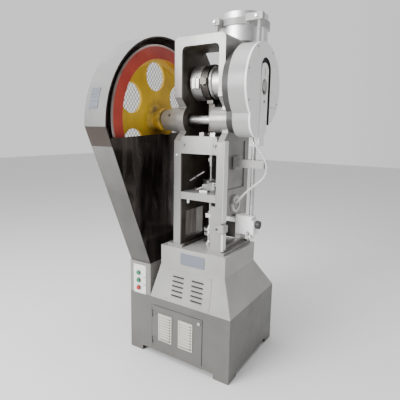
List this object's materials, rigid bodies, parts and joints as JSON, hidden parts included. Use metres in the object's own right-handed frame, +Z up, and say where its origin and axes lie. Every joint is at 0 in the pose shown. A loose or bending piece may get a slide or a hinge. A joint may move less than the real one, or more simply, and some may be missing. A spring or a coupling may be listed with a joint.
{
  "type": "tablet press",
  "caption": "Basket-frame single-punch tablet press: guarded flywheel, geared eccentric shaft, ram with upper punch, die table, hopper, and a sheet cabinet with hood.",
  "frame": {"origin": "centre of the four foundation-bolt holes, on the floor", "axes": "+Z up, +X to the operator's right along the shafts, -Y toward the operator"},
  "size_m": [0.7583, 0.966, 1.897],
  "materials": {
    "cabinet_paint": "satin grey enamel",
    "grille_paint": "pale grille enamel",
    "pad_iron": "rough",
    "guard_paint": "satin grey enamel",
    "guard_mesh": "woven wire",
    "polished_plate": "mirror polished",
    "wheel_paint": "yellow enamel with red rim",
    "belt_rubber": "matt",
    "motor_paint": "satin",
    "cast_paint": "silver-grey painted casting",
    "cover_paint": "near-white enamel",
    "spacer_paint": "dark",
    "bright_steel": "ground and polished",
    "dark_steel": "oiled",
    "bronze": "machined",
    "feed_metal": "satin",
    "hopper_steel": "satin stainless",
    "black_plastic": "moulded",
    "hose_plastic": "clear soft tube",
    "green_plastic": "moulded",
    "red_plastic": "moulded"
  },
  "bodies": {
    "frame": {"base_cabinet": "cabinet_paint", "foundation_pads": "pad_iron", "control_column": "cabinet_paint", "pedestal_hood": "cabinet_paint", "louvre_plate": "cabinet_paint", "door_hinges": "cabinet_paint", "guard_band": "guard_paint", "guard_mesh": "guard_mesh", "guard_side_cover": "polished_plate", "motor": "motor_paint", "v_belts": "belt_rubber", "left_cheek": "cast_paint", "right_cheek": "cast_paint", "head_bridge": "cast_paint", "rear_wall": "cast_paint", "frame_foot_bolts": "dark_steel", "shaft_bushes": "bronze", "ram_guide": "bright_steel", "ram_guide_cap": "bright_steel", "guide_cap_bolts": "dark_steel", "die_table": "bright_steel", "die": "bright_steel", "feed_pivot": "bright_steel", "lower_sleeve": "bright_steel", "gear_cover": "cover_paint", "cover_spacer": "spacer_paint", "rod_guide_bracket": "cast_paint", "hopper": "hopper_steel", "hopper_bracket": "cover_paint", "hose_elbow": "bright_steel", "drain_hose": "hose_plastic"},
    "door": {"access_door": "cabinet_paint", "door_grilles": "grille_paint"},
    "door_lock": {"door_lock": "bright_steel"},
    "start_button": {"start_button": "green_plastic"},
    "jog_button": {"jog_button": "green_plastic"},
    "stop_button": {"stop_button": "red_plastic"},
    "drive_wheel": {"flywheel": "wheel_paint", "countershaft": "bright_steel", "pinion": "dark_steel"},
    "motor_rotor": {"motor_pulley": "cast_paint", "motor_shaft": "bright_steel"},
    "main_shaft": {"main_shaft": "bright_steel", "eccentric": "bright_steel", "main_gear": "dark_steel"},
    "rod": {"strap_cap": "dark_steel", "strap_bolts": "dark_steel", "connecting_rod": "dark_steel", "wrist_pin": "bright_steel"},
    "ram": {"ram": "bright_steel", "punch_holder": "bright_steel", "upper_punch": "bright_steel"},
    "feed": {"feed_shoe": "feed_metal"},
    "lower_punch": {"lower_punch": "bright_steel"},
    "ejection_gear": {"ejection_gear": "bronze"},
    "fill_gear": {"fill_gear": "bronze"},
    "lift": {"lift_rod": "bright_steel", "lift_yoke": "bright_steel", "lift_block": "feed_metal"},
    "clamp_knob": {"clamp_knob": "black_plastic"}
  },
  "joints": [
    {"name": "flywheel_turn", "type": "hinge", "parent": "frame", "child": "drive_wheel", "pos_m": [-0.2455, -0.13, 1.34], "axis": [1, 0, 0], "continuous": true},
    {"name": "main_shaft_turn", "type": "hinge", "parent": "frame", "child": "main_shaft", "pos_m": [0, -0.067, 1.5086], "axis": [1, 0, 0], "continuous": true},
    {"name": "rod_swing", "type": "hinge", "parent": "main_shaft", "child": "rod", "pos_m": [0.075, -0.067, 1.5336], "axis": [1, 0, 0], "continuous": true},
    {"name": "motor_turn", "type": "hinge", "parent": "frame", "child": "motor_rotor", "pos_m": [-0.2455, -0.06, 0.19], "axis": [1, 0, 0], "continuous": true},
    {"name": "ram_slide", "type": "slide", "parent": "frame", "child": "ram", "axis": [0, 0, 1], "range_m": [-0.05, 0]},
    {"name": "feed_swing", "type": "hinge", "parent": "frame", "child": "feed", "pos_m": [0.14, 0.025, 0.97], "axis": [0, 0, 1], "range_deg": [0, 36.4]},
    {"name": "lift_slide", "type": "slide", "parent": "frame", "child": "lift", "axis": [0, 0, 1], "range_m": [0, 0.012]},
    {"name": "lower_punch_slide", "type": "slide", "parent": "frame", "child": "lower_punch", "axis": [0, 0, 1], "range_m": [0, 0.012]},
    {"name": "ejection_gear_turn", "type": "hinge", "parent": "frame", "child": "ejection_gear", "pos_m": [0.075, -0.067, 0.715], "axis": [0, 0, 1], "range_deg": [-180, 180]},
    {"name": "fill_gear_turn", "type": "hinge", "parent": "frame", "child": "fill_gear", "pos_m": [0.075, -0.067, 0.741], "axis": [0, 0, 1], "range_deg": [-180, 180]},
    {"name": "clamp_knob_turn", "type": "hinge", "parent": "lift", "child": "clamp_knob", "pos_m": [0.366, -0.067, 0.806], "axis": [1, 0, 0], "range_deg": [-180, 180]},
    {"name": "door_swing", "type": "hinge", "parent": "frame", "child": "door", "pos_m": [-0.165, -0.286, 0.176], "axis": [0, 0, 1], "range_deg": [-110, 0]},
    {"name": "lock_turn", "type": "hinge", "parent": "door", "child": "door_lock", "pos_m": [0.15, -0.28, 0.284], "axis": [0, 1, 0], "range_deg": [-90, 0]},
    {"name": "start_button_press", "type": "slide", "parent": "frame", "child": "start_button", "axis": [0, 1, 0], "range_m": [0, 0.004], "stiffness_N_per_m": 400},
    {"name": "jog_button_press", "type": "slide", "parent": "frame", "child": "jog_button", "axis": [0, 1, 0], "range_m": [0, 0.004], "stiffness_N_per_m": 400},
    {"name": "stop_button_press", "type": "slide", "parent": "frame", "child": "stop_button", "axis": [0, 1, 0], "range_m": [0, 0.004], "stiffness_N_per_m": 400}
  ],
  "couplings": [
    {"joint": "main_shaft_turn", "follows": "flywheel_turn", "ratio": -0.2},
    {"joint": "rod_swing", "follows": "flywheel_turn", "ratio": 0.2},
    {"joint": "motor_turn", "follows": "flywheel_turn", "ratio": 8.1753},
    {"joint": "lower_punch_slide", "follows": "lift_slide", "ratio": 1}
  ]
}
